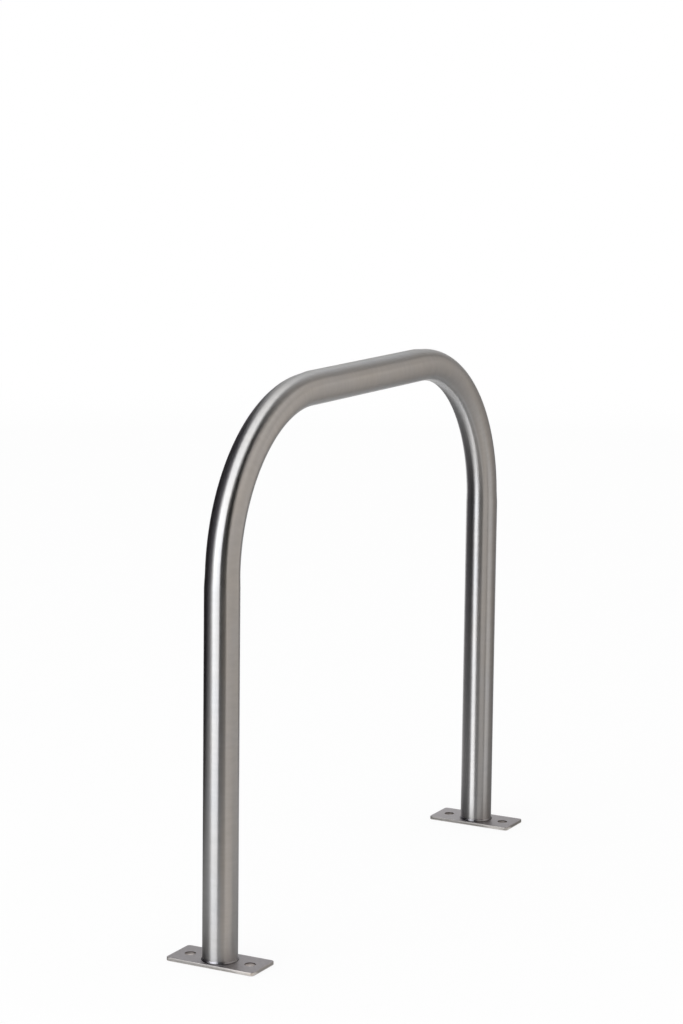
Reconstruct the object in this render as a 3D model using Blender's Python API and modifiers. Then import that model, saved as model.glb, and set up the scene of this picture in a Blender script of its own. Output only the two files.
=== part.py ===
"""Bike parking stand: one bent stainless tube welded to two drilled flat-bar feet.

Units are metres and +Z is up. The hoop lies in the X-Z plane with its legs at -X and +X.
The origin is on the ground, midway between the legs.
"""
import math

import bmesh
import bpy
from mathutils import Vector

# Tube and hoop
TUBE_DIAMETER = 0.0483
TUBE_WALL = 0.0020
LEG_SPACING = 0.800  # between the centre lines of the legs
STAND_HEIGHT = 0.775  # from the ground to the crown of the tube
BEND_RADIUS = 0.230  # of the centre line
BEND_NECKING = 0.0014  # how much slimmer the stretched tube is round a bend
NECKING_RUN = 0.024  # length over which it slims down, half of it before the bend starts

# Base plates, cut from flat bar
PLATE_LENGTH = 0.135  # square to the hoop
PLATE_THICKNESS = 0.005
PLATE_TOE_MARGIN = 0.00435  # bare plate past the weld on the narrow side
PLATE_CORNER_RADIUS = 0.005
EDGE_BREAK = 0.0005  # every cut and drilled edge has its burr taken off
ANCHOR_HOLE_DIAMETER = 0.014
ANCHOR_HOLE_INSET = 0.021  # from the plate's end to the middle of the hole

# Welds round the feet of the tube
WELD_WIDTH = 0.0012  # how far it reaches over the plate
WELD_HEIGHT = 0.0028  # how far it climbs the tube
WELD_HOLLOW = 0.0001  # how deep the middle of the weld's face lies under a flat one

# Clearance between pieces that touch on the real stand
SEAT_GAP = 0.0003

# Finishes: colour and roughness of the bare metal
TUBE_FINISH = ((0.56, 0.54, 0.51), 0.30)
PLATE_FINISH = ((0.50, 0.50, 0.50), 0.38)
WELD_FINISH = ((0.42, 0.42, 0.44), 0.32)

# Fineness of the round shapes
TUBE_SIDES = 40
BEND_STEPS = 16
NECKING_STEPS = 4
CORNER_STEPS = 5
HOLE_SIDES = 32
WELD_SIDES = 48
WELD_FACE_STEPS = 4
SHARP_ANGLE = math.radians(60)  # a sharper edge than this is broken and stays crisp
POINT_MERGE = 0.00001

# Values that follow from the sizes above
TUBE_RADIUS = TUBE_DIAMETER / 2
BEND_START_HEIGHT = STAND_HEIGHT - TUBE_RADIUS - BEND_RADIUS
BEND_LENGTH = BEND_RADIUS * math.pi / 2
SEAT_HEIGHT = PLATE_THICKNESS + SEAT_GAP  # where the tube and its weld stand
WELD_RADIUS = TUBE_RADIUS + SEAT_GAP
PLATE_WIDTH = 2 * (WELD_RADIUS + WELD_WIDTH + PLATE_TOE_MARGIN)
ANCHOR_HOLE_OFFSET = PLATE_LENGTH / 2 - ANCHOR_HOLE_INSET
DRILL_LENGTH = PLATE_THICKNESS * 2


def clear_scene():
    """Remove every object that a new file starts with."""
    for thing in list(bpy.data.objects):
        bpy.data.objects.remove(thing, do_unlink=True)


def new_collection(name):
    collection = bpy.data.collections.new(name)
    bpy.context.scene.collection.children.link(collection)
    return collection


def steel(name, finish):
    """A bare stainless steel with its own colour and polish."""
    colour, roughness = finish
    material = bpy.data.materials.new(name)
    material.use_nodes = True
    shader = material.node_tree.nodes["Principled BSDF"]
    shader.inputs["Base Color"].default_value = (*colour, 1.0)
    shader.inputs["Metallic"].default_value = 1.0
    shader.inputs["Roughness"].default_value = roughness
    return material


def add_object(name, data, collection, parent=None, material=None):
    """Put new data in the scene under its parent; without data it is an empty."""
    thing = bpy.data.objects.new(name, data)
    collection.objects.link(thing)
    thing.parent = parent
    if material:
        data.materials.append(material)
    return thing


def spread(first, last, steps):
    """Evenly spaced values from first to last."""
    return [first + (last - first) * i / steps for i in range(steps + 1)]


def necking_share(travel):
    """Share of the full necking at this travel past the start of the bend."""
    from_start = travel / NECKING_RUN + 0.5
    from_end = (BEND_LENGTH - travel) / NECKING_RUN + 0.5
    share = max(0.0, min(1.0, from_start, from_end))
    return share * share * (3 - 2 * share)


def tube_station(travel):
    """Centre and radius of the tube on the left half of the hoop.

    The travel is measured along the centre line from the start of the bend: it is
    negative down the leg, and past the bend it runs along the crown. The outer side of
    the bend is drawn in by the whole necking, and the inner side keeps its line.
    """
    angle = max(0.0, min(travel / BEND_RADIUS, math.pi / 2))
    outward = Vector((-math.cos(angle), 0, math.sin(angle)))
    bend_centre = Vector((BEND_RADIUS - LEG_SPACING / 2, 0, BEND_START_HEIGHT))
    straight = Vector((max(0.0, travel - BEND_LENGTH), 0, min(0.0, travel)))
    slimming = BEND_NECKING / 2 * necking_share(travel)
    centre = bend_centre + straight + outward * (BEND_RADIUS - slimming)
    return centre, TUBE_RADIUS - slimming


def hoop_stations():
    """Stations of the tube from the left foot over the crown to the right foot."""
    foot = SEAT_HEIGHT - BEND_START_HEIGHT
    half_run = NECKING_RUN / 2
    bend_end = BEND_LENGTH - half_run
    travels = [foot]
    travels += spread(-half_run, half_run, NECKING_STEPS)
    travels += spread(half_run, bend_end, BEND_STEPS)[1:-1]
    travels += spread(bend_end, BEND_LENGTH + half_run, NECKING_STEPS)
    left = [tube_station(travel) for travel in travels]
    right = [(Vector((-centre.x, 0, centre.z)), radius) for centre, radius in reversed(left)]
    return left + right


def hoop_tube(collection, parent):
    """The bent tube, hollow and open at both feet."""
    stations = hoop_stations()
    curve = bpy.data.curves.new("hoop_tube", "CURVE")
    curve.dimensions = "3D"
    curve.bevel_depth = TUBE_RADIUS
    curve.bevel_resolution = TUBE_SIDES // 2 - 2
    curve.use_fill_caps = False
    spline = curve.splines.new("POLY")
    spline.points.add(len(stations) - 1)
    for point, (centre, radius) in zip(spline.points, stations):
        point.co = (*centre, 1)
        point.radius = radius / TUBE_RADIUS
    spline.use_smooth = True
    tube = add_object("hoop_tube", curve, collection, parent, steel("satin_tube", TUBE_FINISH))
    wall = tube.modifiers.new("wall", "SOLIDIFY")
    wall.thickness = TUBE_WALL
    wall.offset = -1
    return tube


def plate_blank():
    """A length of flat bar with its four upright corners rounded."""
    form = bmesh.new()
    bmesh.ops.create_cube(form, size=1)
    size = Vector((PLATE_WIDTH, PLATE_LENGTH, PLATE_THICKNESS))
    bmesh.ops.scale(form, vec=size, verts=form.verts)
    upright = [edge for edge in form.edges if edge.verts[0].co.z * edge.verts[1].co.z < 0]
    bmesh.ops.bevel(
        form,
        geom=upright,
        offset=PLATE_CORNER_RADIUS,
        segments=CORNER_STEPS,
        profile=0.5,
        affect="EDGES",
    )
    return finished_mesh("base_plate", form)


def finished_mesh(name, form):
    """Turn a form into a mesh, smooth round its curves and crisp at its edges."""
    mesh = bpy.data.meshes.new(name)
    form.to_mesh(mesh)
    form.free()
    mesh.shade_smooth()
    mesh.set_sharp_from_angle(angle=SHARP_ANGLE)
    return mesh


def anchor_drill(name, offset, cutters, foot):
    """A cylinder that cuts one anchor hole."""
    form = bmesh.new()
    bmesh.ops.create_cone(
        form,
        cap_ends=True,
        segments=HOLE_SIDES,
        radius1=ANCHOR_HOLE_DIAMETER / 2,
        radius2=ANCHOR_HOLE_DIAMETER / 2,
        depth=DRILL_LENGTH,
    )
    drill = add_object(name, finished_mesh(name, form), cutters, foot)
    drill.location = (0, offset, PLATE_THICKNESS / 2)
    drill.hide_render = True
    drill.display_type = "WIRE"
    return drill


def base_plate(side, collection, cutters, foot):
    """A foot plate with an anchor hole in front of the tube and one behind it."""
    material = steel("plate_" + side, PLATE_FINISH)
    plate = add_object("base_plate_" + side, plate_blank(), collection, foot, material)
    plate.location.z = PLATE_THICKNESS / 2
    for end, way in (("front", -1), ("back", 1)):
        drill = anchor_drill("drill_" + side + "_" + end, way * ANCHOR_HOLE_OFFSET, cutters, foot)
        cut = plate.modifiers.new(end + " hole", "BOOLEAN")
        cut.operation = "DIFFERENCE"
        cut.solver = "EXACT"
        cut.object = drill
    deburr = plate.modifiers.new("edge break", "BEVEL")
    deburr.width = EDGE_BREAK
    deburr.segments = 1
    deburr.limit_method = "ANGLE"
    deburr.angle_limit = SHARP_ANGLE
    return plate


def weld_bead(side, collection, foot):
    """The fillet of weld metal in the corner between the tube and its plate."""
    outline = []
    for share in spread(0, 1, WELD_FACE_STEPS):
        sink = WELD_HOLLOW * math.sin(math.pi * share) / math.sqrt(2)
        across = WELD_RADIUS + WELD_WIDTH * share - sink
        up = WELD_HEIGHT * (1 - share) - sink
        outline.append((across, 0, up))
    outline.append((WELD_RADIUS, 0, 0))
    edges = [(i, (i + 1) % len(outline)) for i in range(len(outline))]
    mesh = bpy.data.meshes.new("weld_bead")
    mesh.from_pydata(outline, edges, [])
    material = steel("weld_" + side, WELD_FINISH)
    bead = add_object("weld_bead_" + side, mesh, collection, foot, material)
    bead.location.z = SEAT_HEIGHT
    turn = bead.modifiers.new("turn", "SCREW")
    turn.steps = WELD_SIDES
    turn.render_steps = WELD_SIDES
    turn.use_merge_vertices = True
    turn.merge_threshold = POINT_MERGE
    turn.use_smooth_shade = True
    return bead


def build_stand():
    clear_scene()
    stand_parts = new_collection("bike_parking_stand")
    cutters = new_collection("cutters")
    ground = add_object("ground_point", None, stand_parts)
    hoop_tube(stand_parts, ground)
    for side, way in (("left", -1), ("right", 1)):
        foot = add_object("foot_" + side, None, stand_parts, ground)
        foot.location.x = way * LEG_SPACING / 2
        base_plate(side, stand_parts, cutters, foot)
        weld_bead(side, stand_parts, foot)


build_stand()
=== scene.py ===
"""Bike parking stand: a bent stainless hoop welded to two drilled flat-bar feet.

Units are metres and +Z is up. The hoop lies in the X-Z plane with its legs at -X and +X.
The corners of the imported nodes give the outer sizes, and the sizes below give the rest.
"""
import functools
import math

import bmesh
import bpy
from mathutils import Matrix, Vector


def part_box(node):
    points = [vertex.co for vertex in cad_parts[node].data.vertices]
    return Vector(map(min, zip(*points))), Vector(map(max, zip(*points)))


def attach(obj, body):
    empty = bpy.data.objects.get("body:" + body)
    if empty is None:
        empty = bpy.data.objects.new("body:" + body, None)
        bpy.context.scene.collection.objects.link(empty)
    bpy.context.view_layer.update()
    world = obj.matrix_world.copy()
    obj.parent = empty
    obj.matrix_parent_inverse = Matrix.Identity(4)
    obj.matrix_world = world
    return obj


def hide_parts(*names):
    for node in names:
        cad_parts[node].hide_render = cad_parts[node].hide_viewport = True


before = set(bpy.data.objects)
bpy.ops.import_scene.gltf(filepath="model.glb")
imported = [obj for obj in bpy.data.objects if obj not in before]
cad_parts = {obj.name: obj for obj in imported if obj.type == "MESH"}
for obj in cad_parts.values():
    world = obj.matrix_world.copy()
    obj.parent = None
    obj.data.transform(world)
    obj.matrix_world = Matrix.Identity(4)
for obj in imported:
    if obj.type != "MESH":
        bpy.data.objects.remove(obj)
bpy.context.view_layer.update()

# Hoop
BEND_RADIUS = 0.230  # of the centre line
BEND_NECKING = 0.0014  # how much slimmer the stretched tube is round a bend
NECKING_RUN = 0.024  # length over which it slims down, half of it before the bend starts
TUBE_WALL = 0.0020
TUBE_RINGS = 241  # along the tube, close together in the bends
TUBE_SIDES = 112
CROWN_SHARE = 0.12  # share of the rings on the straight crown
LEG_SHARE = 0.20  # share of the rings on the straight legs

# Base plates
PLATE_CORNER_RADIUS = 0.005
PLATE_EDGE_ROUNDING = 0.0006
ANCHOR_HOLE_DIAMETER = 0.014
ANCHOR_HOLE_INSET = 0.021  # from the plate's end to the middle of the hole
HOLE_CHAMFER = 0.0005
FLAT_MARGIN = 0.0004  # an extra ring beside each rounded edge, which keeps the faces flat
HOLE_SIDES = 96
CORNER_STEPS = 12
EDGE_STEPS = 4

# Weld beads
RIPPLE_PITCH = 0.0026  # from one ripple of the weld pool to the next
RIPPLE_HEIGHT = 0.00006
RIPPLE_LEAN = 0.35  # how far the middle of a ripple runs ahead of its ends, in pitches
RIPPLE_SKEW = 0.6  # below 1, a ripple rises faster than it falls
FIRST_RIPPLE = {"left": 0.3, "right": 0.7}  # where each bead starts, in pitches
WELD_HOLLOW = 0.0001  # how deep the middle of the weld's face lies under a flat one
WELD_STEPS = 540  # round the tube
WELD_ROWS = 25  # round the section
WELD_FACE_SHARE = 0.72  # share of the rows on the face

POINT_MERGE = 0.00001  # points closer than this become one
CRISP_ANGLE = math.radians(40)

# Camera, as it stood for the photograph
CAMERA_PLACE = Vector((-3.539, -1.840, 1.228))
CAMERA_TURN = 1.0831  # of its line of sight, clockwise from +Y
CAMERA_TILT = -0.1416
CAMERA_ROLL = 0.0117
FOCAL_PIXELS = 2814
SIGHT_ROW = 439.5  # pixel row that the line of sight meets: the photograph is a crop
FRAME_HEIGHT = 1024  # pixels of the photograph's long side
SENSOR = 36.0  # millimetres along the same side

# Finish of the tube. Sizes of patterns are the real ones unless a comment says otherwise.
TUBE_GREYS = ("#A8A9AC", "#ACA9A5")  # of the cooler and the warmer clouds
TUBE_ROUGHNESS = (0.31, 0.345)
POLISH_LINE_PITCH = 0.0009  # real lines are 0.1 to 0.2 mm apart, too fine to show
POLISH_LINE_LENGTH = 0.030
POLISH_LINE_DEPTH = 0.000003
BELT_BAND_WIDTH = 0.006
BELT_BAND_LENGTH = 0.018
BELT_BAND_NOISE = (0.3, 0.7)  # the part of the noise's range that makes the bands
BELT_BAND_SHADE = (0.965, 1.035)  # of the dullest and the brightest band
CLOUD_LENGTH = 0.070
CLOUD_WIDTH = 0.030

# Finish of the plates
PLATE_GREYS = ("#928E92", "#B1ADAE")  # of the dark and the pale mottle
PLATE_ROUGHNESS = (0.38, 0.52)
PLATE_MOTTLE = 0.005
PLATE_MOTTLE_DEPTH = 0.00005
PLATE_GRAIN_WIDTH = 0.0010  # the rolled grain is drawn coarser than it is, to show
PLATE_GRAIN_LENGTH = 0.012
BRUSH_RING_WIDTH = 0.0011
BRUSH_REACH = 0.045  # from the middle of the leg to where the brushed rings end
LINE_SHADE = (0.85, 1.15)  # of the darkest and the palest line of grain, ring or saw mark
LINE_RELIEF = 0.5  # depth of the lines as a share of the mottle's
# The paler sides of the bar: partly the sawn metal's own grey, partly a painted reflection of the
# pale floor
SAWN_GREY_AND_SHEEN = "#BDB9B5"
SAWN_SLOPE = (0.9, 0.5)  # upward share of the normal where the sawn edge starts and is full
SAW_MARK_WIDTH = 0.0007
# The anchor holes' walls: painted shade, dark brown, round the top, and painted light from the
# floor on the pale drilled metal lower down
DRILLED_AND_LIT_GREY = "#DAD2CE"
DRILLED_ROUGHNESS = 0.45
HOLE_SHADE_BROWN = "#352C2A"
HOLE_SHADE_DEPTH = 0.0024  # how far the painted shade reaches down the anchor holes

# Finish of the welds
WELD_GREYS = ("#7E7D81", "#8F8E91")  # of the dark and the pale mottle
WELD_ROUGHNESS = (0.2, 0.3)
WELD_MOTTLE = 0.0015
WELD_MOTTLE_DEPTH = 0.00003
# Painted shade: a dark brown over the lower part of the weld's face, where it meets the plate
TOE_SHADE_BROWN = "#3A3635"
TOE_SHADE_REACH = (0.6, 0.95)  # shares of the way down the face where it starts and is full

# Studio. A standing card has its start and end on the floor, its height, how far each of
# the two leans inward at the top as a share of the card's length, its colour, and its glow
# at start and end, first along the floor and then along the top.
NEUTRAL = "#FFFFFF"
WARM = "#FFF7EF"
COOL = "#F6F0FF"
DAYLIGHT = "#FAFCFF"
STANDING_CARDS = {
    "softbox": ((-2.08, 1.07), (-3.05, -0.88), 3.3, (0.06, 0), DAYLIGHT, (4.95, 2.95), (2.3, 2.5)),
    "softbox_spill": ((-1.75, 1.35), (-1.85, 0.95), 2.9, (0, 0), NEUTRAL, (0.7, 2.0), (0.6, 0.9)),
    "flag_by_camera": ((-0.80, -0.062), (-2.35, -3.65), 2.75, (0.05, 0), WARM, (0, 0), (0.05, 0.1)),
    "grey_wall_right": ((-1.85, -1.80), (1.40, -2.50), 3.1, (0, 0), WARM, (1.6, 0.75), (1.7, 1.0)),
    "grey_wall_far": ((1.30, -2.80), (0.85, -0.12), 2.7, (0, 0), WARM, (1.45, 0.2), (0.75, 1.1)),
    "grey_backdrop": ((2.95, -0.60), (2.55, 1.85), 2.75, (0, 0), NEUTRAL, (0.1, 0.55), (0.7, 0.45)),
    "post": ((0.306, -0.275), (0.323, -0.272), 1.2, (0, 0), NEUTRAL, (0.1, 0.1), (0.1, 0.1)),
    "flag_back": ((0.90, 1.30), (-0.15, 0.58), 1.5, (0, 0), COOL, (0.2, 0), (0.25, 0)),
    "low_reflector": ((0.86, 0.40), (0.99, 0.15), 0.32, (0, 0), NEUTRAL, (1.15, 1.05), (1.1, 1.0)),
    "flag_left": ((-0.14, 0.62), (-1.60, 1.20), 2.25, (0, 0), COOL, (0, 0.15), (0.05, 0.4)),
    "grey_low_right": (
        (0.33, -0.30), (-1.05, -1.00), 0.86, (-0.07, 0), WARM, (0.45, 1.15), (1.2, 0.5),
    ),
}
# A level card reaches across and along the camera's line of sight at one height. Its glow
# is given at its near and its far side, first on the left and then on the right.
ON_FLOOR = 0.001
LEVEL_CARDS = {
    "dark_roof": ((-2.7, 2.7), (-4.25, 0.35), 3.25, NEUTRAL, (0.25, 0), (0.1, 0)),
    "bright_roof": ((-3.0, 0.04), (-1.80, 0.20), 2.15, NEUTRAL, (1.15, 0.95), (2.25, 2.25)),
    "grey_roof": ((-1.05, 2.5), (0.55, 2.50), 2.5, NEUTRAL, (0.75, 0.7), (0.62, 0.67)),
    "floor_middle": ((-0.35, 0.30), (-0.40, 0.30), ON_FLOOR, NEUTRAL, (0.3, 0.4), (0.55, 0.65)),
    "floor_left_near": ((-1.60, -0.36), (-0.40, 0.30), ON_FLOOR, NEUTRAL, (0.9, 0.3), (0.8, 0.2)),
    "floor_left": ((-1.60, -0.05), (0.31, 2.20), ON_FLOOR, NEUTRAL, (0.55, 0.6), (0.4, 0.55)),
    "floor_behind": ((-0.08, 0.15), (0.50, 2.40), 2 * ON_FLOOR, NEUTRAL, (0.8, 1.7), (0.7, 1.2)),
    "floor_right": ((0.00, 1.60), (0.31, 2.40), ON_FLOOR, NEUTRAL, (0.18, 0.9), (0.55, 0.7)),
    "floor_front_left": (
        (-1.50, -0.36), (-2.40, -0.41), ON_FLOOR, NEUTRAL, (0.65, 0.8), (0.6, 1.3),
    ),
    "floor_front_right": ((-0.18, 1.50), (-2.40, -0.41), ON_FLOOR, WARM, (0.45, 1.1), (0.5, 0.6)),
}
# A white board rises from the foot of the far leg towards the near one. Its face looks at the
# far leg and its grey back at the near one. Its corners are given round it, low edge first.
# Its glow is given at the -Y and the +Y end, first of the low edge and then of the high one.
BOUNCE_BOARD = (
    (0.32, -0.022, 0.004),
    (0.32, 0.024, 0.004),
    (-0.28, 0.28, 0.22),
    (-0.28, -0.035, 0.22),
)
BOARD_GLOW = ((2.85, 2.85), (1.0, 1.1))
BOARD_BACK_GLOW = ((0.9, 0.7), (0.8, 0.7))
BOARD_THICKNESS = 0.003
CARD_STRIPE = 0.5  # length of the uneven stripes along a card
CARD_UNEVENNESS = 0.08  # share by which its glow drifts up and down
KEY_PLACE = (-2.2, 0.6, 2.6)
KEY_SIZE = (2.0, 1.6)
KEY_POWER = 12.0
FLOOR_GREYS = ("#F1F1F1", "#F3F3F3")
FLOOR_SIZE = 30.0
FLOOR_MOTTLE = 0.2
FLOOR_WHITENING = 0.85  # share of pure white that the eye and the metal see in the floor
FLOOR_FADE = (1.5, 6.0)  # from here out to there the floor turns into the white around it

hoop_low, hoop_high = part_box("hoop_tube")
plate_low, plate_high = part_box("base_plate_left")
weld_low, weld_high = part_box("weld_bead_left")
TUBE_RADIUS = (hoop_high[1] - hoop_low[1]) / 2
LEG_REACH = hoop_high[0] - TUBE_RADIUS  # from the middle to a leg's centre line
CROWN_HALF = LEG_REACH - BEND_RADIUS
BEND_CENTRE_HEIGHT = hoop_high[2] - TUBE_RADIUS - BEND_RADIUS
LEG_LENGTH = BEND_CENTRE_HEIGHT - hoop_low[2]
PLATE_WIDTH = plate_high[0] - plate_low[0]
PLATE_LENGTH = plate_high[1] - plate_low[1]
PLATE_THICKNESS = plate_high[2]
HOLE_REACH = PLATE_LENGTH / 2 - ANCHOR_HOLE_INSET  # from the leg's middle to a hole's
WELD_WIDTH = (weld_high[1] - weld_low[1]) / 2 - TUBE_RADIUS
WELD_HEIGHT = weld_high[2] - PLATE_THICKNESS
WELD_ROUND = math.tau * (TUBE_RADIUS + WELD_WIDTH / 2)
FEET = {"left": -LEG_REACH, "right": LEG_REACH}

MATH = "ShaderNodeMath"
RANGE = "ShaderNodeMapRange"
VECTOR = "ShaderNodeVectorMath"
COMBINE = "ShaderNodeCombineXYZ"
SEPARATE = "ShaderNodeSeparateXYZ"
NOISE = "ShaderNodeTexNoise"
MIX = "ShaderNodeMix"


def linear(colour):
    """Linear red, green, blue and alpha of an sRGB hex colour."""
    channels = [int(colour[i : i + 2], 16) / 255 for i in (1, 3, 5)]
    curve = [c / 12.92 if c <= 0.04045 else ((c + 0.055) / 1.055) ** 2.4 for c in channels]
    return (*curve, 1.0)


def add_node(tree, kind, inputs=None, **settings):
    """Add a node with its settings. Its inputs take plain values, sockets or whole nodes."""
    node = tree.nodes.new(kind)
    for name, value in settings.items():
        setattr(node, name, value)
    for socket, value in (inputs or {}).items():
        if isinstance(value, bpy.types.Node):
            value = next(output for output in value.outputs if output.enabled)
        if isinstance(value, bpy.types.NodeSocket):
            tree.links.new(value, node.inputs[socket])
        else:
            node.inputs[socket].default_value = value
    return node


def shape_tree(name, sizes):
    """A geometry tree that makes its own shape, with a named input for each size."""
    tree = bpy.data.node_groups.new(name, "GeometryNodeTree")
    tree.interface.new_socket("Geometry", in_out="OUTPUT", socket_type="NodeSocketGeometry")
    for size in sizes:
        tree.interface.new_socket(size, in_out="INPUT", socket_type="NodeSocketFloat")
    tree.interface.new_socket("Finish", in_out="INPUT", socket_type="NodeSocketMaterial")
    return tree, add_node(tree, "NodeGroupInput").outputs


def roll_up(tree, grid, map_name, map_place, point, finish):
    """End a tree: store the grid's map, roll it into its shape and join the seams."""
    mapped = add_node(
        tree,
        "GeometryNodeStoreNamedAttribute",
        {"Geometry": grid, "Name": map_name, "Value": map_place},
        data_type="FLOAT2",
        domain="CORNER",
    )
    rolled = add_node(tree, "GeometryNodeSetPosition", {"Geometry": mapped, "Position": point})
    joined = add_node(
        tree, "GeometryNodeMergeByDistance", {"Geometry": rolled, "Distance": POINT_MERGE}
    )
    smooth = add_node(tree, "GeometryNodeSetShadeSmooth", {"Geometry": joined})
    real = add_node(tree, "GeometryNodeRealizeInstances", {"Geometry": smooth})
    done = add_node(tree, "GeometryNodeSetMaterial", {"Geometry": real, "Material": finish})
    add_node(tree, "NodeGroupOutput", {"Geometry": done})


def placed(name, mesh, finish=None):
    """A new object in the scene."""
    piece = bpy.data.objects.new(name, mesh)
    bpy.context.scene.collection.objects.link(piece)
    if finish:
        mesh.materials.append(finish)
    return piece


def plain_mesh(holder, name):
    """The mesh that an object's modifiers make; the object itself goes."""
    bpy.context.view_layer.update()
    evaluated = holder.evaluated_get(bpy.context.evaluated_depsgraph_get())
    mesh = bpy.data.meshes.new_from_object(evaluated)
    mesh.name = name
    bpy.data.objects.remove(holder, do_unlink=True)
    return mesh


def grown_mesh(name, tree, values, finish):
    """A plain mesh from a geometry tree, whose inputs are set by their identifiers."""
    holder = placed(name + "_tree", bpy.data.meshes.new(name + "_tree"))
    modifier = holder.modifiers.new("shape", "NODES")
    modifier.node_group = tree
    for socket in tree.interface.items_tree:
        if socket.in_out == "INPUT":
            modifier[socket.identifier] = values.get(socket.name, finish)
    return plain_mesh(holder, name)


def bent_tube_tree():
    """Outer skin of the hoop: rings along the bent centre line, slimmer round the bends.

    A flat grid is rolled into the tube. Its X, from -1 to 1, runs from the left foot to the
    right one, and its Y goes round the tube, with the seam on the inner side of the bends.
    """
    sizes = ("Tube Radius", "Crown Half", "Bend Radius", "Bend Centre Height", "Leg Length")
    tree, given = shape_tree("bent_tube", sizes + ("Necking", "Necking Run"))
    grid = add_node(
        tree,
        "GeometryNodeMeshGrid",
        {"Size X": 2, "Size Y": 1, "Vertices X": TUBE_RINGS, "Vertices Y": TUBE_SIDES + 1},
    )
    spot = add_node(tree, SEPARATE, {0: add_node(tree, "GeometryNodeInputPosition")}).outputs
    side = add_node(tree, MATH, {0: spot["X"]}, operation="SIGN")
    away = add_node(tree, MATH, {0: spot["X"]}, operation="ABSOLUTE")

    # How far along the crown, the bend and the leg, each counted away from the middle. The
    # squares crowd the rings of the straight parts towards the bend.
    leg_start = 1 - LEG_SHARE
    ahead = add_node(
        tree, RANGE, {"Value": away, "From Max": CROWN_SHARE, "To Min": 1, "To Max": 0}
    )
    ahead = add_node(tree, MATH, {0: ahead, 1: ahead}, operation="MULTIPLY")
    ahead = add_node(tree, MATH, {0: ahead, 1: given["Crown Half"]}, operation="MULTIPLY")
    crown = add_node(tree, MATH, {0: given["Crown Half"], 1: ahead}, operation="SUBTRACT")
    angle = add_node(
        tree,
        RANGE,
        {"Value": away, "From Min": CROWN_SHARE, "From Max": leg_start, "To Max": math.pi / 2},
    )
    bend = add_node(tree, MATH, {0: angle, 1: given["Bend Radius"]}, operation="MULTIPLY")
    leg = add_node(tree, RANGE, {"Value": away, "From Min": leg_start, "From Max": 1})
    leg = add_node(tree, MATH, {0: leg, 1: leg}, operation="MULTIPLY")
    leg = add_node(tree, MATH, {0: leg, 1: given["Leg Length"]}, operation="MULTIPLY")

    # The slimming eases in over a short run at each end of the bend
    past_crown = add_node(tree, MATH, {0: bend, 1: ahead}, operation="SUBTRACT")
    whole_bend = add_node(
        tree, MATH, {0: given["Bend Radius"], 1: math.pi / 2}, operation="MULTIPLY"
    )
    before_leg = add_node(tree, MATH, {0: whole_bend, 1: bend}, operation="SUBTRACT")
    before_leg = add_node(tree, MATH, {0: before_leg, 1: leg}, operation="SUBTRACT")
    nearer = add_node(tree, MATH, {0: past_crown, 1: before_leg}, operation="MINIMUM")
    runs = add_node(tree, MATH, {0: nearer, 1: given["Necking Run"]}, operation="DIVIDE")
    half = add_node(tree, MATH, {0: given["Necking"], 1: 0.5}, operation="MULTIPLY")
    slimming = add_node(
        tree,
        RANGE,
        {"Value": runs, "From Min": -0.5, "From Max": 0.5, "To Max": half},
        interpolation_type="SMOOTHSTEP",
    )
    radius = add_node(
        tree, MATH, {0: given["Tube Radius"], 1: slimming}, operation="SUBTRACT"
    )
    arm = add_node(tree, MATH, {0: given["Bend Radius"], 1: slimming}, operation="SUBTRACT")

    # A ring at the top of the bend is swung round the bend's centre and then moved along
    turn = add_node(tree, MATH, {0: spot["Y"], 1: math.tau}, operation="MULTIPLY")
    sine = add_node(tree, MATH, {0: turn}, operation="SINE")
    cosine = add_node(tree, MATH, {0: turn}, operation="COSINE")
    ring_y = add_node(tree, MATH, {0: radius, 1: sine}, operation="MULTIPLY")
    ring_z = add_node(tree, MATH, {0: radius, 1: cosine, 2: arm}, operation="MULTIPLY_ADD")
    ring = add_node(tree, COMBINE, {"Y": ring_y, "Z": ring_z})
    swing = add_node(tree, MATH, {0: angle, 1: side}, operation="MULTIPLY")
    swung = add_node(
        tree, "ShaderNodeVectorRotate", {"Vector": ring, "Angle": swing}, rotation_type="Y_AXIS"
    )
    shift = add_node(tree, MATH, {0: crown, 1: side}, operation="MULTIPLY")
    lift = add_node(tree, MATH, {0: given["Bend Centre Height"], 1: leg}, operation="SUBTRACT")
    moved = add_node(tree, COMBINE, {"X": shift, "Z": lift})
    point = add_node(tree, VECTOR, {0: swung, 1: moved}, operation="ADD")

    # The map: metres along the tube from the middle of the crown, and turns round it
    way = add_node(tree, MATH, {0: crown, 1: bend}, operation="ADD")
    way = add_node(tree, MATH, {0: way, 1: leg}, operation="ADD")
    way = add_node(tree, MATH, {0: way, 1: side}, operation="MULTIPLY")
    map_place = add_node(tree, COMBINE, {"X": way, "Y": spot["Y"]})
    roll_up(tree, grid, "tube_skin", map_place, point, given["Finish"])
    return tree


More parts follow.
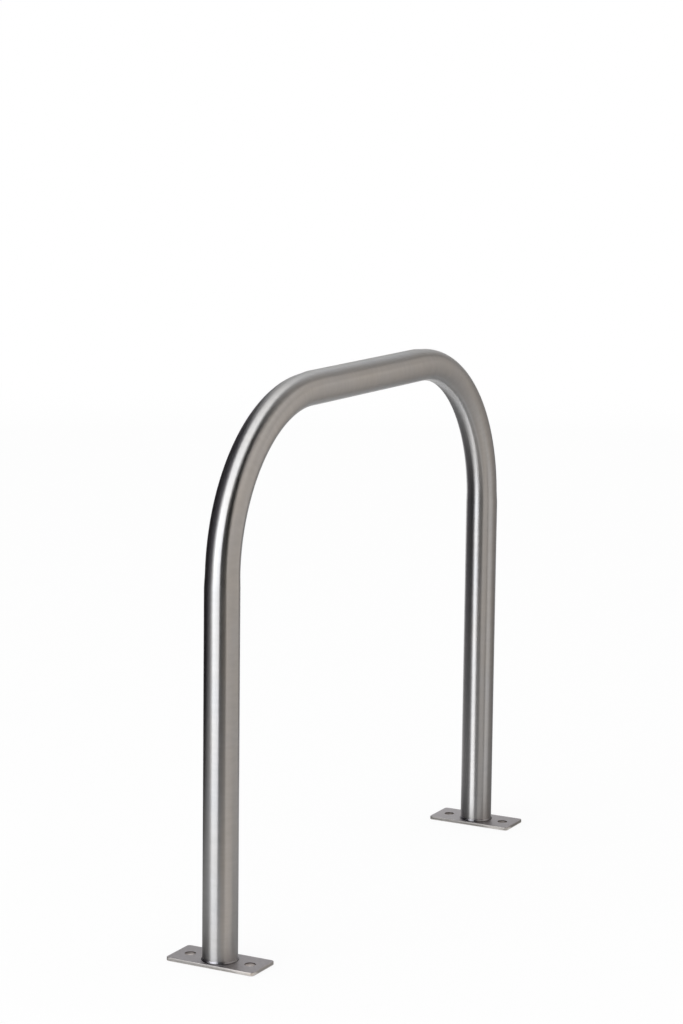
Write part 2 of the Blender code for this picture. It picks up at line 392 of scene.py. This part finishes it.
def weld_tree():
    """A fillet weld round a leg: a closed three-sided section with a rippled, hollow face.

    The grid's X, from 0 to 1, goes round the leg, and its Y goes round the section: over
    the face from the tube down to the plate, back under it, and up along the tube.
    """
    sizes = ("Foot X", "Tube Radius", "Width", "Height", "Hollow", "Plate Top")
    tree, given = shape_tree("weld_bead", sizes + ("Ripple Height", "Ripples", "First Ripple"))
    grid = add_node(
        tree,
        "GeometryNodeMeshGrid",
        {"Size X": 1, "Size Y": 1, "Vertices X": WELD_STEPS + 1, "Vertices Y": WELD_ROWS + 1},
    )
    spot = add_node(tree, SEPARATE, {0: add_node(tree, "GeometryNodeInputPosition")}).outputs
    row = add_node(tree, MATH, {0: spot["Y"], 1: 0.5}, operation="ADD")
    underside = (1 + WELD_FACE_SHARE) / 2
    down = add_node(tree, RANGE, {"Value": row, "From Max": WELD_FACE_SHARE})
    back = add_node(tree, RANGE, {"Value": row, "From Min": WELD_FACE_SHARE, "From Max": underside})
    rise = add_node(tree, RANGE, {"Value": row, "From Min": underside})

    # Each ripple is a crescent: steep behind, and ahead of its ends in the middle of the face
    belly = add_node(tree, MATH, {0: down, 1: math.pi}, operation="MULTIPLY")
    belly = add_node(tree, MATH, {0: belly}, operation="SINE")
    count = add_node(
        tree,
        MATH,
        {0: spot["X"], 1: given["Ripples"], 2: given["First Ripple"]},
        operation="MULTIPLY_ADD",
    )
    count = add_node(tree, MATH, {0: belly, 1: RIPPLE_LEAN, 2: count}, operation="MULTIPLY_ADD")
    phase = add_node(tree, MATH, {0: count}, operation="FRACT")
    crest = add_node(tree, MATH, {0: phase, 1: RIPPLE_SKEW}, operation="POWER")
    crest = add_node(tree, MATH, {0: crest, 1: math.pi}, operation="MULTIPLY")
    crest = add_node(tree, MATH, {0: crest}, operation="SINE")
    ripple = add_node(tree, MATH, {0: crest, 1: given["Ripple Height"]}, operation="MULTIPLY")
    hollow = add_node(tree, MATH, {0: ripple, 1: given["Hollow"]}, operation="SUBTRACT")
    swell = add_node(tree, MATH, {0: hollow, 1: belly}, operation="MULTIPLY")

    across = add_node(tree, MATH, {0: down, 1: back}, operation="SUBTRACT")
    across = add_node(tree, MATH, {0: across, 1: given["Width"]}, operation="MULTIPLY")
    across = add_node(tree, MATH, {0: across, 1: swell}, operation="ADD")
    across = add_node(tree, MATH, {0: across, 1: given["Tube Radius"]}, operation="ADD")
    up = add_node(tree, MATH, {0: rise, 1: down}, operation="SUBTRACT")
    up = add_node(tree, MATH, {0: up, 1: 1}, operation="ADD")
    up = add_node(tree, MATH, {0: up, 1: given["Height"], 2: swell}, operation="MULTIPLY_ADD")
    up = add_node(tree, MATH, {0: up, 1: given["Plate Top"]}, operation="ADD")
    turn = add_node(tree, MATH, {0: spot["X"], 1: math.tau}, operation="MULTIPLY")
    section = add_node(tree, COMBINE, {"X": across, "Z": up})
    swung = add_node(
        tree, "ShaderNodeVectorRotate", {"Vector": section, "Angle": turn}, rotation_type="Z_AXIS"
    )
    foot = add_node(tree, COMBINE, {"X": given["Foot X"]})
    point = add_node(tree, VECTOR, {0: swung, 1: foot}, operation="ADD")
    map_place = add_node(tree, COMBINE, {"X": spot["X"], "Y": row})
    roll_up(tree, grid, "weld_skin", map_place, point, given["Finish"])
    return tree


def hoop(finish):
    """The bent tube: its skin from the tree, with a wall and crisp cut ends."""
    values = {
        "Tube Radius": TUBE_RADIUS,
        "Crown Half": CROWN_HALF,
        "Bend Radius": BEND_RADIUS,
        "Bend Centre Height": BEND_CENTRE_HEIGHT,
        "Leg Length": LEG_LENGTH,
        "Necking": BEND_NECKING,
        "Necking Run": NECKING_RUN,
    }
    skin = placed("hoop_skin", grown_mesh("hoop_skin", bent_tube_tree(), values, finish))
    wall = skin.modifiers.new("wall", "SOLIDIFY")
    wall.thickness = TUBE_WALL
    wall.offset = -1  # all of it inward
    mesh = plain_mesh(skin, "bent_tube")
    mesh.set_sharp_from_angle(angle=CRISP_ANGLE)
    tube = placed("bent_tube", mesh)
    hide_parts("hoop_tube")
    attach(tube, "root")


def arc(centre_x, centre_y, radius, first, last, steps):
    """Points on an arc, with its angles in quarter turns."""
    turns = [first + (last - first) * i / steps for i in range(steps + 1)]
    angles = [turn * math.pi / 2 for turn in turns]
    return [(centre_x + radius * math.cos(a), centre_y + radius * math.sin(a)) for a in angles]


def plate_outline(setback):
    """The plate's rounded rectangle, drawn in by the setback."""
    corner_x = PLATE_WIDTH / 2 - PLATE_CORNER_RADIUS
    corner_y = PLATE_LENGTH / 2 - PLATE_CORNER_RADIUS
    radius = PLATE_CORNER_RADIUS - setback
    points = []
    for quarter, (x, y) in enumerate(((1, 1), (-1, 1), (-1, -1), (1, -1))):
        points += arc(x * corner_x, y * corner_y, radius, quarter, quarter + 1, CORNER_STEPS)
    return points


def hole_outline(end, setback):
    """The round of an anchor hole, opened by the setback, without the arc's repeated point."""
    radius = ANCHOR_HOLE_DIAMETER / 2 + setback
    return arc(0, end * HOLE_REACH, radius, 0, 4, HOLE_SIDES)[:-1]


def edge_profile(size, steps):
    """Setback and height of each ring up an edge. More than one step makes it round."""
    angles = [math.pi / 2 * i / steps for i in range(steps + 1)]
    low = [(size * (1 - math.sin(a)), size * (1 - math.cos(a))) for a in angles]
    low.insert(0, (size + FLAT_MARGIN, 0))
    high = [(setback, PLATE_THICKNESS - height) for setback, height in reversed(low)]
    return low + high


def add_band(form, outline, profile):
    """Faces up one edge of the plate. Returns the sides of its lowest and highest rings."""
    rings = []
    for setback, height in profile:
        rings.append([form.verts.new((x, y, height)) for x, y in outline(setback)])
    for low, high in zip(rings, rings[1:]):
        for i, corner in enumerate(low):
            form.faces.new((low[i - 1], corner, high[i], high[i - 1]))
    ends = (rings[0], rings[-1])
    return [[form.edges.get((ring[i - 1], ring[i])) for i in range(len(ring))] for ring in ends]


def base_plate(side, foot_x, finish):
    """A flat-bar foot with rounded corners, eased edges and two chamfered anchor holes."""
    form = bmesh.new()
    bottom, top = add_band(form, plate_outline, edge_profile(PLATE_EDGE_ROUNDING, EDGE_STEPS))
    for end in (-1, 1):
        hole = functools.partial(hole_outline, end)
        low, high = add_band(form, hole, edge_profile(HOLE_CHAMFER, 1))
        bottom += low
        top += high
    for edges in (bottom, top):
        bmesh.ops.triangle_fill(form, edges=edges, use_beauty=True)
    bmesh.ops.recalc_face_normals(form, faces=form.faces)
    name = "flat_bar_foot_" + side
    mesh = bpy.data.meshes.new(name)
    form.to_mesh(mesh)
    form.free()
    mesh.transform(Matrix.Translation((foot_x, 0, 0)))
    mesh.shade_smooth()
    mesh.set_sharp_from_angle(angle=CRISP_ANGLE)
    plate = placed(name, mesh, finish)
    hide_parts("base_plate_" + side)
    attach(plate, "root")


def fillet_weld(side, foot_x, tree, finish):
    """The weld bead round one leg, with a whole number of ripples so that its seam closes."""
    values = {
        "Foot X": foot_x,
        "Tube Radius": TUBE_RADIUS,
        "Width": WELD_WIDTH,
        "Height": WELD_HEIGHT,
        "Hollow": WELD_HOLLOW,
        "Plate Top": PLATE_THICKNESS,
        "Ripple Height": RIPPLE_HEIGHT,
        "Ripples": float(round(WELD_ROUND / RIPPLE_PITCH)),
        "First Ripple": FIRST_RIPPLE[side],
    }
    name = "fillet_weld_" + side
    bead = placed(name, grown_mesh(name, tree, values, finish))
    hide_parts("weld_bead_" + side)
    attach(bead, "root")


def new_material(name):
    """A material without nodes, and its tree."""
    material = bpy.data.materials.new(name)
    material.use_nodes = True
    material.node_tree.nodes.clear()
    return material, material.node_tree


def steel_surface(tree, colour, roughness, normal, **fixed):
    """Bare metal. Values that are the same all over it are set on the shader itself."""
    inputs = {"Base Color": colour, "Metallic": 1.0, "Roughness": roughness, "Normal": normal}
    shader = add_node(tree, "ShaderNodeBsdfPrincipled", {**inputs, **fixed})
    add_node(tree, "ShaderNodeOutputMaterial", {"Surface": shader})


def satin_tube():
    """Stainless pipe, ground and satin polished round its girth with a fine belt.

    The polish lines run round the tube. They keep reflections sharp round the tube and smear
    them along it, so that lamps and walls become long stripes. The passes of the belt leave
    faint bands of duller and brighter metal, and cloudy patches of warmer and cooler grey.
    """
    material, tree = new_material("satin_polished_stainless_tube")
    skin = add_node(tree, "ShaderNodeUVMap", uv_map="tube_skin")
    spot = add_node(tree, SEPARATE, {0: skin}).outputs
    turn = add_node(tree, MATH, {0: spot["Y"], 1: math.tau}, operation="MULTIPLY")
    cosine = add_node(tree, MATH, {0: turn}, operation="COSINE")
    sine = add_node(tree, MATH, {0: turn}, operation="SINE")
    wrapped = add_node(tree, COMBINE, {"X": spot["X"], "Y": cosine, "Z": sine})
    unrolled = add_node(
        tree, VECTOR, {0: wrapped, 1: (1, TUBE_RADIUS, TUBE_RADIUS)}, operation="MULTIPLY"
    )
    patterns = {}
    for pattern, (along, around, detail) in {
        "lines": (POLISH_LINE_PITCH, POLISH_LINE_LENGTH, 2.0),
        "bands": (BELT_BAND_WIDTH, BELT_BAND_LENGTH, 2.0),
        "clouds": (CLOUD_LENGTH, CLOUD_WIDTH, 3.0),
    }.items():
        scale = (1 / along, 1 / around, 1 / around)
        fitted = add_node(tree, VECTOR, {0: unrolled, 1: scale}, operation="MULTIPLY")
        patterns[pattern] = add_node(
            tree, NOISE, {"Vector": fitted, "Scale": 1.0, "Detail": detail}
        )
    cooler, warmer = map(linear, TUBE_GREYS)
    colour = add_node(
        tree, MIX, {"Factor": patterns["clouds"], "A": cooler, "B": warmer}, data_type="RGBA"
    )
    first, last = BELT_BAND_NOISE
    shade = add_node(tree, RANGE, {"Value": patterns["bands"], "From Min": first, "From Max": last})
    dull, bright = BELT_BAND_SHADE
    shade = add_node(tree, RANGE, {"Value": shade, "To Min": dull, "To Max": bright})
    colour = add_node(tree, VECTOR, {0: colour, 1: shade}, operation="MULTIPLY")
    low, high = TUBE_ROUGHNESS
    roughness = add_node(tree, RANGE, {"Value": patterns["lines"], "To Min": low, "To Max": high})
    bump = add_node(
        tree, "ShaderNodeBump", {"Height": patterns["lines"], "Distance": POLISH_LINE_DEPTH}
    )
    tangent = add_node(tree, "ShaderNodeTangent", direction_type="UV_MAP", uv_map="tube_skin")
    steel_surface(tree, colour, roughness, bump, Tangent=tangent, Anisotropic=1.0)
    return material


def pickled_plate():
    """Hot-rolled flat bar, pickled in acid: a matt, slightly mottled grey with a rolled grain.

    The grain runs along the bar. A wire brush has left fine rings round the weld. The sawn
    edges show upright lines and are paler, partly as sawn metal and partly as a painted
    reflection of the pale floor. The drilled holes have painted shade, dark brown, round the
    top, and pale drilled metal lower down that carries painted light from the floor.
    """
    material, tree = new_material("pickled_stainless_flat_bar")
    place = add_node(tree, "ShaderNodeTexCoord").outputs["Object"]
    folded = add_node(tree, VECTOR, {0: place}, operation="ABSOLUTE")
    from_leg = add_node(tree, VECTOR, {0: folded, 1: (LEG_REACH, 0, 0)}, operation="SUBTRACT")
    spot = add_node(tree, SEPARATE, {0: from_leg}).outputs
    past_hole = add_node(tree, MATH, {0: spot["Y"], 1: HOLE_REACH}, operation="SUBTRACT")
    reach = add_node(tree, COMBINE, {"X": spot["X"], "Y": past_hole})
    reach = add_node(tree, VECTOR, {0: reach}, operation="LENGTH").outputs["Value"]
    drilled_radius = ANCHOR_HOLE_DIAMETER / 2 + HOLE_CHAMFER + FLAT_MARGIN / 2
    drilled = add_node(tree, MATH, {0: reach, 1: drilled_radius}, operation="LESS_THAN")
    normal = add_node(tree, "ShaderNodeNewGeometry").outputs["Normal"]
    facing = add_node(tree, SEPARATE, {0: normal}).outputs["Z"]
    upward = add_node(tree, MATH, {0: facing}, operation="ABSOLUTE")
    first, last = SAWN_SLOPE
    sawn_and_sheen = add_node(tree, RANGE, {"Value": upward, "From Min": first, "From Max": last})

    patterns = {}
    for pattern, (across, along, up, detail) in {
        "grain": (PLATE_GRAIN_WIDTH, PLATE_GRAIN_LENGTH, PLATE_GRAIN_WIDTH, 2.0),
        "mottle": (PLATE_MOTTLE, PLATE_MOTTLE, PLATE_MOTTLE, 4.0),
        "saw marks": (SAW_MARK_WIDTH, SAW_MARK_WIDTH, PLATE_THICKNESS, 2.0),
    }.items():
        scale = (1 / across, 1 / along, 1 / up)
        fitted = add_node(tree, VECTOR, {0: place, 1: scale}, operation="MULTIPLY")
        patterns[pattern] = add_node(
            tree, NOISE, {"Vector": fitted, "Scale": 1.0, "Detail": detail}
        )
    flat_place = add_node(tree, COMBINE, {"X": spot["X"], "Y": spot["Y"]})
    from_tube = add_node(tree, VECTOR, {0: flat_place}, operation="LENGTH").outputs["Value"]
    ring = add_node(tree, MATH, {0: from_tube, 1: 1 / BRUSH_RING_WIDTH}, operation="MULTIPLY")
    turn = add_node(tree, MATH, {0: spot["Y"], 1: spot["X"]}, operation="ARCTAN2")
    rings = add_node(tree, COMBINE, {"X": ring, "Y": turn})
    rings = add_node(tree, NOISE, {"Vector": rings, "Scale": 1.0, "Detail": 2.0})
    brushed = add_node(
        tree,
        RANGE,
        {"Value": from_tube, "From Min": BRUSH_REACH, "From Max": PLATE_WIDTH / 2},
        interpolation_type="SMOOTHSTEP",
    )
    lines = add_node(
        tree, MIX, {"Factor": brushed, "A": patterns["grain"], "B": rings}, data_type="FLOAT"
    )
    lines = add_node(
        tree, MIX, {"Factor": sawn_and_sheen, "A": lines, "B": patterns["saw marks"]}, data_type="FLOAT"
    )

    dark, pale = map(linear, PLATE_GREYS)
    colour = add_node(
        tree, MIX, {"Factor": patterns["mottle"], "A": dark, "B": pale}, data_type="RGBA"
    )
    # Paler sides: sawn metal with a painted reflection of the pale floor
    colour = add_node(
        tree, MIX, {"Factor": sawn_and_sheen, "A": colour, "B": linear(SAWN_GREY_AND_SHEEN)}, data_type="RGBA"
    )
    dark, pale = LINE_SHADE
    shade = add_node(tree, RANGE, {"Value": lines, "To Min": dark, "To Max": pale})
    colour = add_node(tree, VECTOR, {0: colour, 1: shade}, operation="MULTIPLY")
    depth = add_node(tree, SEPARATE, {0: place}).outputs["Z"]
    # Painted shade, dark brown, round the top of the hole walls; the pale drilled grey below
    # carries painted light
    hole_shade = add_node(
        tree,
        RANGE,
        {"Value": depth, "From Min": PLATE_THICKNESS - HOLE_SHADE_DEPTH, "From Max": PLATE_THICKNESS},
        interpolation_type="SMOOTHSTEP",
    )
    wall = add_node(
        tree,
        MIX,
        {"Factor": hole_shade, "A": linear(DRILLED_AND_LIT_GREY), "B": linear(HOLE_SHADE_BROWN)},
        data_type="RGBA",
    )
    colour = add_node(
        tree, MIX, {"Factor": drilled, "A": colour, "B": wall}, data_type="RGBA"
    )
    low, high = PLATE_ROUGHNESS
    roughness = add_node(tree, RANGE, {"Value": patterns["mottle"], "To Min": low, "To Max": high})
    roughness = add_node(
        tree,
        MIX,
        {"Factor": drilled, "A": roughness, "B": DRILLED_ROUGHNESS},
        data_type="FLOAT",
    )
    height = add_node(
        tree, MATH, {0: lines, 1: LINE_RELIEF, 2: patterns["mottle"]}, operation="MULTIPLY_ADD"
    )
    bump = add_node(
        tree, "ShaderNodeBump", {"Height": height, "Distance": PLATE_MOTTLE_DEPTH}
    )
    steel_surface(tree, colour, roughness, bump)
    return material


def pickled_weld():
    """Stainless weld metal, pickled: smoother, darker and cooler in colour than the plate.

    So the tube's bright streak runs on over the bead, down to the painted shade, a dark
    brown on the lower part of its face, where it meets the plate.
    """
    material, tree = new_material("pickled_stainless_weld")
    place = add_node(tree, "ShaderNodeTexCoord").outputs["Object"]
    mottle = add_node(tree, NOISE, {"Vector": place, "Scale": 1 / WELD_MOTTLE, "Detail": 3.0})
    dark, pale = map(linear, WELD_GREYS)
    bare = add_node(tree, MIX, {"Factor": mottle, "A": dark, "B": pale}, data_type="RGBA")
    skin = add_node(tree, "ShaderNodeUVMap", uv_map="weld_skin")
    row = add_node(tree, SEPARATE, {0: skin}).outputs["Y"]
    # Painted shade, dark brown, over the lower part of the face down to the plate
    first, last = (WELD_FACE_SHARE * share for share in TOE_SHADE_REACH)
    scale = add_node(
        tree,
        RANGE,
        {"Value": row, "From Min": first, "From Max": last},
        interpolation_type="SMOOTHSTEP",
    )
    colour = add_node(
        tree, MIX, {"Factor": scale, "A": bare, "B": linear(TOE_SHADE_BROWN)}, data_type="RGBA"
    )
    low, high = WELD_ROUGHNESS
    roughness = add_node(tree, RANGE, {"Value": mottle, "To Min": low, "To Max": high})
    bump = add_node(
        tree, "ShaderNodeBump", {"Height": mottle, "Distance": WELD_MOTTLE_DEPTH}
    )
    steel_surface(tree, colour, roughness, bump)
    return material


def glow_material(name, length, colour, low, high):
    """A card's glow, blended between its four corners and a little uneven along the card."""
    material, tree = new_material(name)
    spot = add_node(tree, SEPARATE, {0: add_node(tree, "ShaderNodeUVMap", uv_map="card")}).outputs
    low = add_node(tree, RANGE, {"Value": spot["X"], "To Min": low[0], "To Max": low[1]})
    high = add_node(tree, RANGE, {"Value": spot["X"], "To Min": high[0], "To Max": high[1]})
    glow = add_node(tree, RANGE, {"Value": spot["Y"], "To Min": low, "To Max": high})
    along = add_node(tree, MATH, {0: spot["X"], 1: length}, operation="MULTIPLY")
    drift = add_node(
        tree,
        NOISE,
        {"W": along, "Scale": 1 / CARD_STRIPE, "Detail": 2.0},
        noise_dimensions="1D",
    )
    drift = add_node(
        tree,
        RANGE,
        {"Value": drift, "To Min": 1 - CARD_UNEVENNESS, "To Max": 1 + CARD_UNEVENNESS},
    )
    glow = add_node(tree, MATH, {0: glow, 1: drift}, operation="MULTIPLY")
    shine = add_node(tree, "ShaderNodeEmission", {"Color": linear(colour), "Strength": glow})
    add_node(tree, "ShaderNodeOutputMaterial", {"Surface": shine})
    material.cycles.emission_sampling = "NONE"
    return material


def studio_card(name, corners, colour, low, high):
    """A flat card round the stand that only reflections show, like a softbox or a flag.

    Its corners are given round it, and its map runs along its first side and up from there.
    """
    mesh = bpy.data.meshes.new(name)
    mesh.from_pydata(corners, [], [(0, 1, 2, 3)])
    card_map = mesh.uv_layers.new(name="card")
    for corner, place in zip(card_map.data, ((0, 0), (1, 0), (1, 1), (0, 1))):
        corner.uv = place
    length = (Vector(corners[1]) - Vector(corners[0])).length
    card = placed(name, mesh, glow_material(name, length, colour, low, high))
    card.visible_camera = False
    card.visible_diffuse = False
    card.visible_shadow = False


def studio_cards():
    """A softbox on the left, dark and grey cards round the stand, and a board in its opening."""
    for name, (start, end, top, slant, colour, low, high) in STANDING_CARDS.items():
        start, end = Vector((*start, 0)), Vector((*end, 0))
        up = Vector((0, 0, top))
        corners = [start, end, end.lerp(start, slant[1]) + up, start.lerp(end, slant[0]) + up]
        studio_card(name, corners, colour, low, high)
    right = Vector((math.cos(CAMERA_TURN), -math.sin(CAMERA_TURN), 0))
    ahead = Vector((math.sin(CAMERA_TURN), math.cos(CAMERA_TURN), 0))
    for name, (across, along, height, colour, low, high) in LEVEL_CARDS.items():
        corners = [
            right * across[a] + ahead * along[b] + Vector((0, 0, height))
            for a, b in ((0, 0), (0, 1), (1, 1), (1, 0))
        ]
        studio_card(name, corners, colour, low, high)

    face = [Vector(corner) for corner in BOUNCE_BOARD]
    back = [corner + Vector((-BOARD_THICKNESS, 0, -BOARD_THICKNESS)) for corner in face]
    studio_card("bounce_board", face, NEUTRAL, *BOARD_GLOW)
    studio_card("bounce_board_back", back, NEUTRAL, *BOARD_BACK_GLOW)


def studio_floor():
    """A pale matt floor that takes the stand's shadow.

    The eye and reflections see it whiter than it is lit, and far out it fades into the
    white surroundings.
    """
    material, tree = new_material("pale_studio_floor")
    place = add_node(tree, "ShaderNodeTexCoord").outputs["Object"]
    grain = add_node(tree, NOISE, {"Vector": place, "Scale": 1 / FLOOR_MOTTLE, "Detail": 3.0})
    dark, pale = map(linear, FLOOR_GREYS)
    colour = add_node(tree, MIX, {"Factor": grain, "A": dark, "B": pale}, data_type="RGBA")
    matt = add_node(tree, "ShaderNodeBsdfDiffuse", {"Color": colour})
    white = add_node(tree, "ShaderNodeEmission", {"Strength": 1.0})
    path = add_node(tree, "ShaderNodeLightPath").outputs
    seen = add_node(tree, MATH, {0: path["Is Camera Ray"], 1: path["Is Glossy Ray"]})
    seen = add_node(tree, MATH, {0: seen, 1: path["Is Transmission Ray"]}, use_clamp=True)
    seen = add_node(tree, MATH, {0: seen, 1: FLOOR_WHITENING}, operation="MULTIPLY")
    distance = add_node(tree, VECTOR, {0: place}, operation="LENGTH").outputs["Value"]
    start, end = FLOOR_FADE
    fade = add_node(
        tree,
        RANGE,
        {"Value": distance, "From Min": start, "From Max": end},
        interpolation_type="SMOOTHSTEP",
    )
    share = add_node(tree, MATH, {0: fade, 1: seen}, operation="MAXIMUM")
    blend = add_node(tree, "ShaderNodeMixShader", {0: share, 1: matt, 2: white})
    add_node(tree, "ShaderNodeOutputMaterial", {"Surface": blend})
    material.cycles.emission_sampling = "NONE"
    mesh = bpy.data.meshes.new("studio_floor")
    reach = FLOOR_SIZE / 2
    mesh.from_pydata(
        [(-reach, -reach, 0), (reach, -reach, 0), (reach, reach, 0), (-reach, reach, 0)],
        [],
        [(0, 1, 2, 3)],
    )
    placed("studio_floor", mesh, material)


def studio_light():
    """Plain white surroundings, and a large soft lamp on the left that reflections don't show."""
    world = bpy.data.worlds.new("white_surroundings")
    world.use_nodes = True
    world.node_tree.nodes.clear()
    white = add_node(world.node_tree, "ShaderNodeBackground", {"Color": (1, 1, 1, 1)})
    add_node(world.node_tree, "ShaderNodeOutputWorld", {"Surface": white})
    world.cycles.sampling_method = "NONE"
    bpy.context.scene.world = world

    light = bpy.data.lights.new("soft_key", "AREA")
    light.shape = "RECTANGLE"
    light.size, light.size_y = KEY_SIZE
    light.energy = KEY_POWER
    lamp = placed("soft_key", light)
    lamp.location = KEY_PLACE
    lamp.rotation_euler = (-Vector(KEY_PLACE)).to_track_quat("-Z", "Y").to_euler()
    lamp.visible_glossy = False
    lamp.visible_camera = False


def photograph_camera():
    """The camera where it stood, with the photograph's crop as a shift of the lens."""
    data = bpy.data.cameras.new("photograph_camera")
    data.sensor_fit = "AUTO"
    data.sensor_width = SENSOR
    data.lens = FOCAL_PIXELS / FRAME_HEIGHT * SENSOR
    data.shift_y = SIGHT_ROW / FRAME_HEIGHT - 0.5
    camera = placed("photograph_camera", data)
    flat = math.cos(CAMERA_TILT)
    ahead = Vector(
        (math.sin(CAMERA_TURN) * flat, math.cos(CAMERA_TURN) * flat, math.sin(CAMERA_TILT))
    )
    level = Vector((math.cos(CAMERA_TURN), -math.sin(CAMERA_TURN), 0))
    right = Matrix.Rotation(-CAMERA_ROLL, 3, ahead) @ level
    up = right.cross(ahead)
    turn = Matrix((right, up, -ahead)).transposed()
    camera.matrix_world = Matrix.Translation(CAMERA_PLACE) @ turn.to_4x4()
    bpy.context.scene.camera = camera


photograph_camera()
hoop(satin_tube())
plate_finish = pickled_plate()
weld_finish = pickled_weld()
bead_tree = weld_tree()
for side, foot_x in FEET.items():
    base_plate(side, foot_x, plate_finish)
    fillet_weld(side, foot_x, bead_tree, weld_finish)
studio_cards()
studio_floor()
studio_light()
bpy.context.scene.view_settings.view_transform = "Standard"
